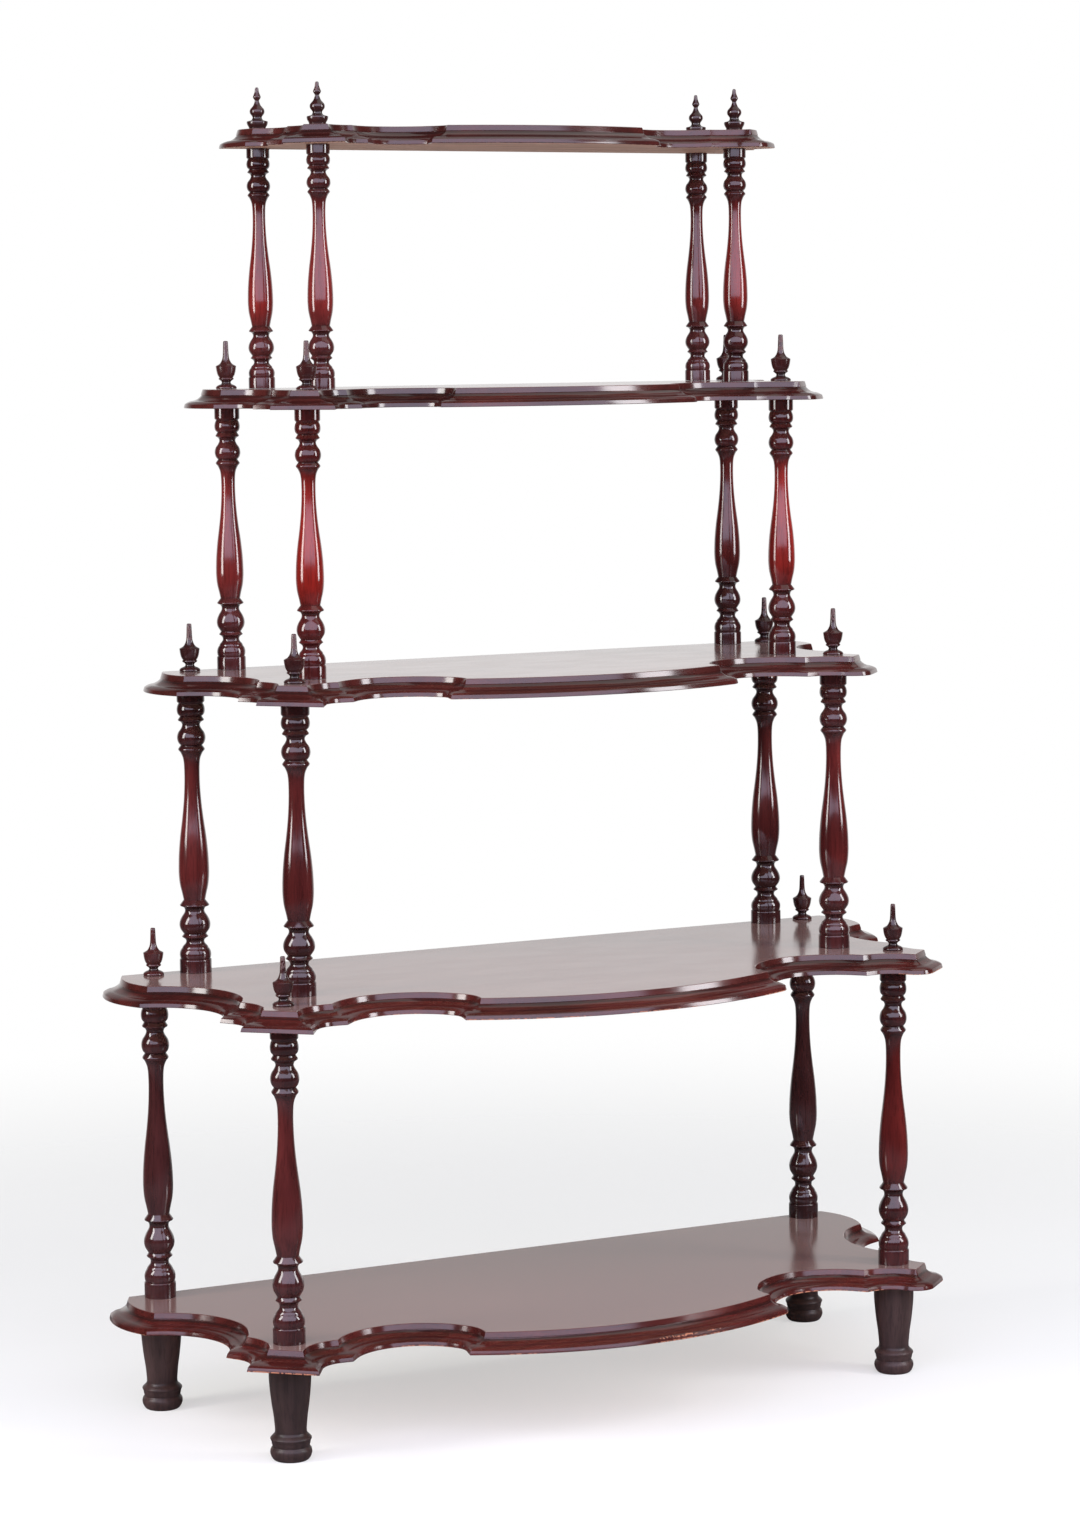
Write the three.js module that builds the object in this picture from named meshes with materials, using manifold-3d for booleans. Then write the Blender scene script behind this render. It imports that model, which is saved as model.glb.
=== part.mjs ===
// An etagere: five shaped and moulded shelves carried by sixteen turned posts.
// Each tier of posts stands inside the tier below, so the shelves shrink as they rise.
// Lengths are in millimetres. X runs to the right, Y runs to the back, Z runs up.
// The origin lies on the floor, midway between the sides and between the front and back.
import * as THREE from "three";
import { mergeVertices } from "three/addons/utils/BufferGeometryUtils.js";
import Module from "manifold-3d";

const wasm = await Module();
wasm.setup();

// Shelf boards and the moulding on their edges: a leaning fillet, a cove, a slope and a lip
const boardThickness = 21.5;
const mouldingWidth = 22;
const filletHeight = 6.6;
const filletLean = 1.9;
const coveDrop = 6.8;
const coveWidth = 11.6;
const lipHeight = 4.3;
const lipLean = 1.2;

// Clear height of each bay, from a shelf to the shelf above it
const firstBayHeight = 362;
const secondBayHeight = 333.2;
const thirdBayHeight = 306.3;
const fourthBayHeight = 278;

// Spacing of the lowest post centres across the front, across the back, and from front to back
const frontSpan = 800;
const backSpan = 883.2;
const postDepth = 282.8;

// Steps from each tier of posts to the next one up: inwards at the front corners, inwards at
// the back corners, and backwards at the front. The fourth tier also stands a little forwards.
const secondFrontInset = 46.5;
const secondBackInset = 53.3;
const secondSetback = 59.4;
const thirdFrontInset = 42.6;
const thirdBackInset = 52.8;
const thirdSetback = 48.3;
const fourthFrontInset = 37.7;
const fourthBackInset = 43.1;
const fourthSetback = 42.3;
const fourthBackStep = 5;

// Reach of the flat top past the posts: sideways at the back corners and at the front
// corners, forwards at the front corners and at the middle of the bow, and backwards
const firstLobeReach = 34;
const secondLobeReach = 28.5;
const thirdLobeReach = 23.5;
const fourthLobeReach = 18.5;
const firstSideReach = 33.3;
const secondSideReach = 27.5;
const thirdSideReach = 25.5;
const fourthSideReach = 23.5;
const firstFrontReach = 45;
const secondFrontReach = 41;
const thirdFrontReach = 37.5;
const fourthFrontReach = 33.5;
const firstBowReach = 112.2;
const secondBowReach = 92.5;
const thirdBowReach = 77.5;
const fourthBowReach = 63;
const backReach = 15;

// Turned posts: radius of the foot block, and heights of the turnings below and above the vase
const firstPostRadius = 18.5;
const secondPostRadius = 18.8;
const thirdPostRadius = 16.9;
const fourthPostRadius = 15.5;
const firstLowerTurning = 92.5;
const secondLowerTurning = 79;
const thirdLowerTurning = 77.8;
const fourthLowerTurning = 66.5;
const firstUpperTurning = 76;
const secondUpperTurning = 70;
const thirdUpperTurning = 64.8;
const fourthUpperTurning = 54;

// Feet
const footHeight = 112.75;
const footTopRadius = 24;
const footNeckRadius = 17.8;
const footRingRadius = 23.8;
const footToeHeight = 31.5;

// Finials on the corners of the middle shelves, and the smaller ones on the top shelf
const finialHeight = 55.5;
const finialRadius = 12.2;
const topFinialHeight = 48.5;
const topFinialRadius = 12.4;

// Turned tenons and spigots that join the pieces, and the play around them
const footTenonRadius = 9;
const postTenonRadius = 8;
const postTenonLength = 16;
const spigotRadius = 4.5;
const jointDepth = 24;
const jointPlay = 0.3;
const seatGap = 0.3;
const drillOverrun = 5;

// The flat top's outline, as shares of the reaches, depths and spans that it follows
const lobeEndShares = { out: 1.13, along: 0.27 };
const lobeRiseShare = 0.12;
const sideScoopRiseShare = 0.24;
const sideTipShares = { out: 0.95, back: 1.04 };
const coveRiseShare = 0.155;
const cantSideShares = { out: 1, front: 0.55 };
const cantFrontShares = { out: 0.08, front: 1 };
const frontTipShares = { in: 1.16, front: 0.148 };
const frontScoopRiseShare = 0.34;
const bowEndShares = { across: 0.467, front: 0.6 };
const coveMidShares = { out: 0.3, drop: 0.7 };

// The turned shapes, from the bottom up: each row is a height share and a radius share
const lowerTurningShares = [
  [0, 1], [0.16, 1], [0.2, 0.91], [0.25, 0.985], [0.365, 0.8], [0.452, 0.57],
  [0.526, 0.83], [0.575, 0.7], [0.68, 0.97], [0.8, 0.88], [0.912, 0.6], [1, 0.92],
];
const vaseShares = [
  [0.036, 0.67], [0.12, 0.87], [0.25, 0.955], [0.45, 0.81], [0.66, 0.55], [0.86, 0.47],
  [0.955, 0.57],
];
const upperTurningShares = [
  [0, 0.84], [0.073, 0.67], [0.2, 0.89], [0.411, 0.56], [0.495, 0.82],
  [0.558, 0.69], [0.669, 0.885], [0.772, 0.775], [0.81, 0.87], [1, 0.87],
];
const footToeShares = [[0, 0.86], [0.27, 1], [0.5, 0.88], [0.8, 0.99]];
const footTaperShares = [[0, 0], [0.4, 0.45], [0.7, 0.95], [1, 1]];
const finialShares = [
  [0, 1.02], [0.045, 0.8], [0.115, 0.42], [0.203, 0.73], [0.25, 0.7], [0.35, 0.9],
  [0.478, 0.97], [0.53, 0.6], [0.64, 0.35], [0.975, 0.23],
];
const topFinialShares = [
  [0, 0.88], [0.19, 1], [0.225, 0.57], [0.29, 0.44], [0.42, 0.7], [0.54, 0.48], [0.675, 0.2],
  [0.77, 0.37], [0.84, 0.25], [0.97, 0.16],
];

// Counts of sides and of steps on the curves
const postSides = 10;
const finialSides = 8;
const lobeSteps = 3;
const sideScoopSteps = 5;
const coveSteps = 3;
const frontScoopSteps = 6;
const bowSteps = 8;

// Finishes
const postWood = new THREE.MeshStandardMaterial({
  color: 0x4a1712,
  roughness: 0.25,
  metalness: 0,
});
const shelfWood = new THREE.MeshStandardMaterial({
  color: 0x3d1a15,
  roughness: 0.22,
  metalness: 0,
});
const footWood = new THREE.MeshStandardMaterial({
  color: 0x2b1a17,
  roughness: 0.45,
  metalness: 0,
});

// Places worked out from the sizes: the bottom shelf's bow leads at the front,
// and the back feet or the back edge, whichever stands out further, at the back
const bowDepth = firstBowReach + mouldingWidth;
const backOverhang = Math.max(backReach, footTopRadius);
const overallDepth = backOverhang + postDepth + bowDepth;
const backPostLine = overallDepth / 2 - backOverhang;

const firstTier = {
  frontHalf: frontSpan / 2,
  backHalf: backSpan / 2,
  frontY: backPostLine - postDepth,
  backY: backPostLine,
  lobeReach: firstLobeReach,
  sideReach: firstSideReach,
  frontReach: firstFrontReach,
  bowReach: firstBowReach,
  postRadius: firstPostRadius,
  lowerTurning: firstLowerTurning,
  upperTurning: firstUpperTurning,
  bay: firstBayHeight,
};
const secondTier = {
  frontHalf: firstTier.frontHalf - secondFrontInset,
  backHalf: firstTier.backHalf - secondBackInset,
  frontY: firstTier.frontY + secondSetback,
  backY: firstTier.backY,
  lobeReach: secondLobeReach,
  sideReach: secondSideReach,
  frontReach: secondFrontReach,
  bowReach: secondBowReach,
  postRadius: secondPostRadius,
  lowerTurning: secondLowerTurning,
  upperTurning: secondUpperTurning,
  bay: secondBayHeight,
};
const thirdTier = {
  frontHalf: secondTier.frontHalf - thirdFrontInset,
  backHalf: secondTier.backHalf - thirdBackInset,
  frontY: secondTier.frontY + thirdSetback,
  backY: secondTier.backY,
  lobeReach: thirdLobeReach,
  sideReach: thirdSideReach,
  frontReach: thirdFrontReach,
  bowReach: thirdBowReach,
  postRadius: thirdPostRadius,
  lowerTurning: thirdLowerTurning,
  upperTurning: thirdUpperTurning,
  bay: thirdBayHeight,
};
const fourthTier = {
  frontHalf: thirdTier.frontHalf - fourthFrontInset,
  backHalf: thirdTier.backHalf - fourthBackInset,
  frontY: thirdTier.frontY + fourthSetback,
  backY: thirdTier.backY - fourthBackStep,
  lobeReach: fourthLobeReach,
  sideReach: fourthSideReach,
  frontReach: fourthFrontReach,
  bowReach: fourthBowReach,
  postRadius: fourthPostRadius,
  lowerTurning: fourthLowerTurning,
  upperTurning: fourthUpperTurning,
  bay: fourthBayHeight,
};
const tiers = [firstTier, secondTier, thirdTier, fourthTier];

// The four post centres of a tier
function corners(tier) {
  return [
    { name: "front_left", x: -tier.frontHalf, y: tier.frontY },
    { name: "front_right", x: tier.frontHalf, y: tier.frontY },
    { name: "back_left", x: -tier.backHalf, y: tier.backY },
    { name: "back_right", x: tier.backHalf, y: tier.backY },
  ];
}

// Points of a circular arc from a to b, without a itself. Its middle stands off the chord
// by riseShare of the chord, to the right of the way from a to b, or to the left if negative.
function arcPoints(a, b, riseShare, steps) {
  const chord = b.clone().sub(a);
  const right = new THREE.Vector2(chord.y, -chord.x).normalize();
  const half = chord.length() / 2;
  const rise = riseShare * chord.length();
  const radius = (half * half + rise * rise) / (2 * rise);
  const middle = a.clone().add(b).divideScalar(2);
  const centre = middle.addScaledVector(right, rise - radius);
  const spread = 4 * Math.atan(rise / half);
  const points = [];
  for (let step = 1; step <= steps; step += 1) {
    points.push(a.clone().rotateAround(centre, (spread * step) / steps));
  }
  return points;
}

// The flat top's outline, clockwise from its back right corner to its back left corner:
// lobe, side scoop, side cove, cant, front cove and front scoop, then the bow in the middle
function flatOutline(tier) {
  const lobe = tier.lobeReach;
  const side = tier.sideReach;
  const front = tier.frontReach;
  const bow = tier.bowReach;
  const frontY = tier.frontY;
  const at = (x, y) => new THREE.Vector2(x, y);
  const backCorner = at(tier.backHalf + lobe, tier.backY + backReach);
  const lobeEnd = at(
    tier.backHalf + lobeEndShares.out * lobe,
    tier.backY - lobeEndShares.along * (tier.backY - frontY),
  );
  const sideTip = at(
    tier.frontHalf + sideTipShares.out * side,
    frontY + sideTipShares.back * front,
  );
  const cantSide = at(
    tier.frontHalf + cantSideShares.out * side,
    frontY - cantSideShares.front * side,
  );
  const cantFront = at(
    tier.frontHalf + cantFrontShares.out * front,
    frontY - cantFrontShares.front * front,
  );
  const frontTip = at(
    tier.frontHalf - frontTipShares.in * front,
    frontY - frontTipShares.front * bow,
  );
  const bowEnd = at(bowEndShares.across * tier.frontHalf, frontY - bowEndShares.front * bow);
  const otherBowEnd = at(-bowEnd.x, bowEnd.y);
  const bowRiseShare = (frontY - bow - bowEnd.y) / (bowEnd.x - otherBowEnd.x);
  const right = [
    backCorner,
    ...arcPoints(backCorner, lobeEnd, -lobeRiseShare, lobeSteps),
    ...arcPoints(lobeEnd, sideTip, sideScoopRiseShare, sideScoopSteps),
    ...arcPoints(sideTip, cantSide, coveRiseShare, coveSteps),
    cantFront,
    ...arcPoints(cantFront, frontTip, coveRiseShare, coveSteps),
    ...arcPoints(frontTip, bowEnd, frontScoopRiseShare, frontScoopSteps),
  ];
  const middle = arcPoints(bowEnd, otherBowEnd, bowRiseShare, bowSteps);
  const left = right.map((point) => at(-point.x, point.y)).reverse();
  return [...right, ...middle.slice(0, -1), ...left];
}

// Where the two edges at a corner meet once each has moved out by its own distance
function movedCorner(before, corner, after, outBefore, outAfter) {
  const outward = (a, b) => new THREE.Vector2(a.y - b.y, b.x - a.x).normalize();
  const first = outward(before, corner);
  const second = outward(corner, after);
  const turn = first.cross(second);
  const reachFirst = corner.dot(first) + outBefore;
  const reachSecond = corner.dot(second) + outAfter;
  return new THREE.Vector2(
    (reachFirst * second.y - reachSecond * first.y) / turn,
    (reachSecond * first.x - reachFirst * second.x) / turn,
  );
}

// The outline moved outwards everywhere but along the back edge, which stays where it is
function movedOutline(outline, out) {
  const last = outline.length - 1;
  return outline.map((corner, i) => {
    const before = outline.at(i - 1);
    const after = outline[i === last ? 0 : i + 1];
    const outBefore = i === 0 ? 0 : out;
    const outAfter = i === last ? 0 : out;
    return movedCorner(before, corner, after, outBefore, outAfter);
  });
}

// A closed solid through rings of points, clockwise seen from above, from the top ring down
function ringSolid(rings) {
  const count = rings[0].length;
  const faces = [];
  for (let upper = 0; upper + count < rings.length * count; upper += count) {
    const lower = upper + count;
    for (let i = 0; i < count; i += 1) {
      const next = (i + 1) % count;
      faces.push(upper + i, upper + next, lower + i);
      faces.push(upper + next, lower + next, lower + i);
    }
  }
  const flat = (ring) => ring.map((point) => new THREE.Vector2(point.x, point.y));
  const bottom = (rings.length - 1) * count;
  for (const [a, b, c] of THREE.ShapeUtils.triangulateShape(flat(rings[0]), [])) {
    faces.push(a, b, c);
  }
  for (const [a, b, c] of THREE.ShapeUtils.triangulateShape(flat(rings.at(-1)), [])) {
    faces.push(bottom + a, bottom + c, bottom + b);
  }
  const geometry = new THREE.BufferGeometry().setFromPoints(rings.flat());
  geometry.setIndex(faces);
  return geometry;
}

function toManifold(geometry) {
  const bare = geometry.clone();
  bare.deleteAttribute("normal");
  bare.deleteAttribute("uv");
  const merged = mergeVertices(bare);
  return new wasm.Manifold(
    new wasm.Mesh({
      numProp: 3,
      vertProperties: merged.attributes.position.array,
      triVerts: new Uint32Array(merged.index.array),
    }),
  );
}

function toGeometry(manifold) {
  const mesh = manifold.getMesh();
  const geometry = new THREE.BufferGeometry();
  geometry.setAttribute("position", new THREE.Float32BufferAttribute(mesh.vertProperties, 3));
  geometry.setIndex(new THREE.Uint32BufferAttribute(mesh.triVerts, 1));
  geometry.computeVertexNormals();
  return geometry;
}

function namedMesh(name, geometry, material) {
  const mesh = new THREE.Mesh(geometry, material);
  mesh.name = name;
  return mesh;
}

// A solid turned about Z, from rows of radius and height that start and end on the axis
function turned(rows, sides) {
  const profile = rows.map(([radius, height]) => new THREE.Vector2(radius, height));
  return new THREE.LatheGeometry(profile, sides).rotateX(Math.PI / 2);
}

// Corner radius of a many-sided hole whose flats stand the joint's play clear of a peg
function holeRadius(pegRadius) {
  return (pegRadius + jointPlay) / Math.cos(Math.PI / postSides);
}

// The cutter for a peg's hole, from one height to another
function drill(peg, from, to) {
  const radius = holeRadius(peg.radius);
  const cutter = new THREE.CylinderGeometry(radius, radius, to - from, postSides);
  cutter.rotateX(Math.PI / 2);
  cutter.translate(peg.x, peg.y, (from + to) / 2);
  return toManifold(cutter);
}

// A shelf with its underside at height 0. The moulding runs round all but the back edge.
// Pegs pass through it at each place in through, and stand in it at each place in blind.
function shelf(name, outline, through, blind) {
  const coveMid = {
    out: filletLean + coveMidShares.out * coveWidth,
    drop: filletHeight + coveMidShares.drop * coveDrop,
  };
  const moulding = [
    { out: 0, drop: 0 },
    { out: filletLean, drop: filletHeight },
    coveMid,
    { out: filletLean + coveWidth, drop: filletHeight + coveDrop },
    { out: mouldingWidth - lipLean, drop: boardThickness - lipHeight },
    { out: mouldingWidth, drop: boardThickness },
  ];
  const rings = moulding.map(({ out, drop }) =>
    movedOutline(outline, out).map((p) => new THREE.Vector3(p.x, p.y, boardThickness - drop)),
  );
  let board = toManifold(ringSolid(rings));
  for (const peg of through) {
    board = board.subtract(drill(peg, -drillOverrun, boardThickness + drillOverrun));
  }
  const socketFloor = boardThickness - postTenonLength;
  for (const peg of blind) {
    board = board.subtract(drill(peg, socketFloor, boardThickness + drillOverrun));
  }
  return namedMesh(name, toGeometry(board), shelfWood);
}

// The turned surface of a post of this length, from its foot block to its top
function postSurface(tier, length) {
  const radius = tier.postRadius;
  const lower = tier.lowerTurning;
  const upper = tier.upperTurning;
  const vase = length - lower - upper;
  return [
    ...lowerTurningShares.map(([h, r]) => [r * radius, h * lower]),
    ...vaseShares.map(([h, r]) => [r * radius, lower + h * vase]),
    ...upperTurningShares.map(([h, r]) => [r * radius, length - upper + h * upper]),
  ];
}

// A post that stands at height 0. The lowest posts are bored for the tenons of the feet,
// the others have a tenon in the shelf below, and all take the spigot of a finial at the top.
function post(name, tier) {
  const length = tier.bay - 2 * seatGap;
  const boreRadius = holeRadius(footTenonRadius);
  const boreTop = jointDepth + jointPlay;
  const bored = [[0, boreTop], [boreRadius, boreTop], [boreRadius, 0]];
  const tenonEnd = seatGap - postTenonLength;
  const tenon = [[0, tenonEnd], [postTenonRadius, tenonEnd], [postTenonRadius, 0]];
  const socketRadius = holeRadius(spigotRadius);
  const socketFloor = length - jointDepth - jointPlay;
  const socket = [[socketRadius, length], [socketRadius, socketFloor], [0, socketFloor]];
  const bottom = tier === firstTier ? bored : tenon;
  const rows = [...bottom, ...postSurface(tier, length), ...socket];
  return namedMesh(name, turned(rows, postSides), postWood);
}

// A finial that stands at height 0, on a spigot through the shelf into the post below
function finial(name, shares, height, radius) {
  const spigotEnd = -boardThickness - 2 * seatGap - jointDepth;
  const spigot = [[0, spigotEnd], [spigotRadius, spigotEnd], [spigotRadius, 0]];
  const surface = shares.map(([h, r]) => [r * radius, h * height]);
  const rows = [...spigot, ...surface, [0, height]];
  return namedMesh(name, turned(rows, finialSides), postWood);
}

// A foot that stands on the floor, with a tenon through the bottom shelf into the post
function foot(name) {
  const shoulder = footHeight - seatGap;
  const tenonTop = footHeight + boardThickness + seatGap + jointDepth;
  const taper = shoulder - footToeHeight;
  const swell = footTopRadius - footNeckRadius;
  const tenon = [[footTenonRadius, shoulder], [footTenonRadius, tenonTop], [0, tenonTop]];
  const rows = [
    [0, 0],
    ...footToeShares.map(([h, r]) => [r * footRingRadius, h * footToeHeight]),
    ...footTaperShares.map(([h, r]) => [footNeckRadius + r * swell, footToeHeight + h * taper]),
    ...tenon,
  ];
  return namedMesh(name, turned(rows, postSides), footWood);
}

function placed(object, x, y, z) {
  object.position.set(x, y, z);
  return object;
}

const pegs = (tier, radius) => corners(tier).map(({ x, y }) => ({ x, y, radius }));

// Each shelf's underside, from the bottom shelf up
const shelfHeights = [footHeight];
for (const tier of tiers) {
  shelfHeights.push(shelfHeights.at(-1) + boardThickness + tier.bay);
}

const etagere = new THREE.Group();
etagere.name = "etagere";

for (const { name, x, y } of corners(firstTier)) {
  etagere.add(placed(foot(`foot_${name}`), x, y, 0));
}

shelfHeights.forEach((height, i) => {
  const below = i === 0 ? firstTier : tiers[i - 1];
  const above = tiers[i];
  const through = pegs(below, i === 0 ? footTenonRadius : spigotRadius);
  const blind = i > 0 && above ? pegs(above, postTenonRadius) : [];
  const board = shelf(`shelf_${i + 1}`, flatOutline(below), through, blind);
  etagere.add(placed(board, 0, 0, height));
});

tiers.forEach((tier, i) => {
  const shelfTop = shelfHeights[i] + boardThickness;
  const nextShelfTop = shelfHeights[i + 1] + boardThickness;
  const topmost = i === tiers.length - 1;
  for (const { name, x, y } of corners(tier)) {
    const crown = topmost
      ? finial(`top_finial_${name}`, topFinialShares, topFinialHeight, topFinialRadius)
      : finial(`finial_${i + 2}_${name}`, finialShares, finialHeight, finialRadius);
    etagere.add(placed(post(`post_${i + 1}_${name}`, tier), x, y, shelfTop + seatGap));
    etagere.add(placed(crown, x, y, nextShelfTop + seatGap));
  }
});

export default etagere;
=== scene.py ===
"""An etagere of stained and varnished wood: moulded shelves, turned posts, finials and feet."""
import math

import bpy
from mathutils import Matrix, Vector
from mathutils.geometry import interpolate_bezier


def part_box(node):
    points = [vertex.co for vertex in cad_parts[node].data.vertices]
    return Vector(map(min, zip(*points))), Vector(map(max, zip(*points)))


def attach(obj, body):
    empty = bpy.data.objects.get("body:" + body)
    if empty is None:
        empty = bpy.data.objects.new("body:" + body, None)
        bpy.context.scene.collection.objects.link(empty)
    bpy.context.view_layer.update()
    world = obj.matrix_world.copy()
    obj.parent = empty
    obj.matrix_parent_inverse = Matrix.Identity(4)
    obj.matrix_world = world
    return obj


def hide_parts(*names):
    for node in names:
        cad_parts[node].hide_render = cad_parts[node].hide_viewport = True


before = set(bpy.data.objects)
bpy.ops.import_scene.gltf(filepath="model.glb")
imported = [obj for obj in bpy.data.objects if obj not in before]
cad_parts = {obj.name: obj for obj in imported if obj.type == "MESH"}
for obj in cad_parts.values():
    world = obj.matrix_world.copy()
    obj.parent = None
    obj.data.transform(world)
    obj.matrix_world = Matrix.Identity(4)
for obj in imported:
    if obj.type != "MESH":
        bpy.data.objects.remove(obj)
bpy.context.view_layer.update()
bpy.ops.object.select_all(action="DESELECT")

MM = 0.001
UP = (0, 0, 1)
# Points nearer to each other than this are one point
MERGE = 0.00001
# The clearance above and below each post
SEAT_GAP = 0.3 * MM
CORNERS = ("front_left", "front_right", "back_left", "back_right")

# The camera: its place in metres, then in radians its turn to the right, its dip and its small
# lean, and its lens and film in millimetres
CAMERA_PLACE = (-2.2368, -4.3020, 1.2695)
CAMERA_TURN = 0.4739
CAMERA_DIP = 0.1038
CAMERA_LEAN = -0.0111
CAMERA_LENS = 98.6
CAMERA_FILM = 36


def ahead():
    """The level direction from the camera to the etagere."""
    return Vector((math.sin(CAMERA_TURN), math.cos(CAMERA_TURN), 0))


def make_camera():
    data = bpy.data.cameras.new("camera")
    data.lens = CAMERA_LENS
    data.sensor_width = CAMERA_FILM
    camera = bpy.data.objects.new("camera", data)
    bpy.context.scene.collection.objects.link(camera)
    forward = ahead() * math.cos(CAMERA_DIP) - Vector(UP) * math.sin(CAMERA_DIP)
    level = Vector((math.cos(CAMERA_TURN), -math.sin(CAMERA_TURN), 0))
    upward = level.cross(forward)
    right = level * math.cos(CAMERA_LEAN) + upward * math.sin(CAMERA_LEAN)
    top = upward * math.cos(CAMERA_LEAN) - level * math.sin(CAMERA_LEAN)
    turn = Matrix((right, top, -forward)).transposed().to_4x4()
    camera.matrix_world = Matrix.Translation(CAMERA_PLACE) @ turn
    bpy.context.scene.camera = camera


# Materials

# Noise patterns of the wood, in waves for each metre across the grain and along it
STREAKS = (75, 5)
PORES = (520, 22)
CLOUDS = (7, 5)
GLOSS_PATCHES = (30, 12)
RIPPLES = (160, 14)
CHIPS = (300, 300)
WORN_PATCHES = (9, 9, 3)
SAWN_STREAKS = (4, 60, 60)
# The noise values between which a pattern goes from its least to its most
NOISE_RANGE = (0.3, 0.7)
PORE_RANGE = (0.36, 0.48)
CHIP_RANGE = (0.4, 0.54)
WORN_RANGE = (0.4, 0.62)
CHIPPED_RANGE = (0.28, 0.4)
# What each pattern multiplies the stain by, at its darkest and at its brightest
STREAK_TONES = (0.72, 1.3)
CLOUD_TONES = (0.66, 1.4)
PORE_TONES = (0.75, 1)
RIPPLE_HEIGHT = 0.0004
SAWN_HEIGHT = 0.0005
SAWN_BUMP = 0.4
SAWN_ROUGHNESS = 0.7
# Painted shade in the hollows and over the mouldings: its colour, and how much of it covers the
# deepest ones
PAINTED_SHADE = (0.011, 0.0065, 0.0055, 1)
PAINTED_SHADE_SHARE = 0.95
CHIP_ROUGHNESS = 0.6


def add_node(tree, kind, inputs=None, **settings):
    """A shader node with its settings, and its inputs linked or set."""
    made = tree.nodes.new(kind)
    for key, value in settings.items():
        setattr(made, key, value)
    for key, value in (inputs or {}).items():
        if isinstance(value, bpy.types.NodeSocket):
            tree.links.new(value, made.inputs[key])
        else:
            made.inputs[key].default_value = value
    return made


def object_place(tree):
    return add_node(tree, "ShaderNodeTexCoord").outputs["Object"]


def stretched_noise(tree, place, scale, detail=4, roughness=0.55):
    """Noise with its own scale along each axis, in waves for each metre."""
    mapped = add_node(tree, "ShaderNodeMapping", {"Vector": place, "Scale": scale})
    inputs = {"Vector": mapped.outputs[0], "Scale": 1, "Detail": detail, "Roughness": roughness}
    return add_node(tree, "ShaderNodeTexNoise", inputs).outputs["Fac"]


def ramp(tree, value, stops):
    """A colour ramp through (place, colour) stops."""
    made = add_node(tree, "ShaderNodeValToRGB", {"Fac": value})
    elements = made.color_ramp.elements
    while len(elements) < len(stops):
        elements.new(1)
    for element, (place, colour) in zip(elements, stops):
        element.position = place
        element.color = (*colour, 1)
    return made.outputs["Color"]


def fade(tree, value, start, end, low=0.0, high=1.0):
    """A smooth step from low to high as the value goes from start to end."""
    inputs = {"Value": value, "From Min": start, "From Max": end, "To Min": low, "To Max": high}
    made = add_node(tree, "ShaderNodeMapRange", inputs, interpolation_type="SMOOTHSTEP")
    return made.outputs["Result"]


def multiply(tree, first, second):
    made = add_node(tree, "ShaderNodeMath", {0: first, 1: second}, operation="MULTIPLY")
    return made.outputs[0]


def blend_colours(tree, share, first, second, how="MIX"):
    inputs = {0: share, 6: first, 7: second}
    made = add_node(tree, "ShaderNodeMix", inputs, data_type="RGBA", blend_type=how)
    return made.outputs[2]


def attribute(tree, name):
    return add_node(tree, "ShaderNodeAttribute", attribute_name=name).outputs["Fac"]


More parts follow.
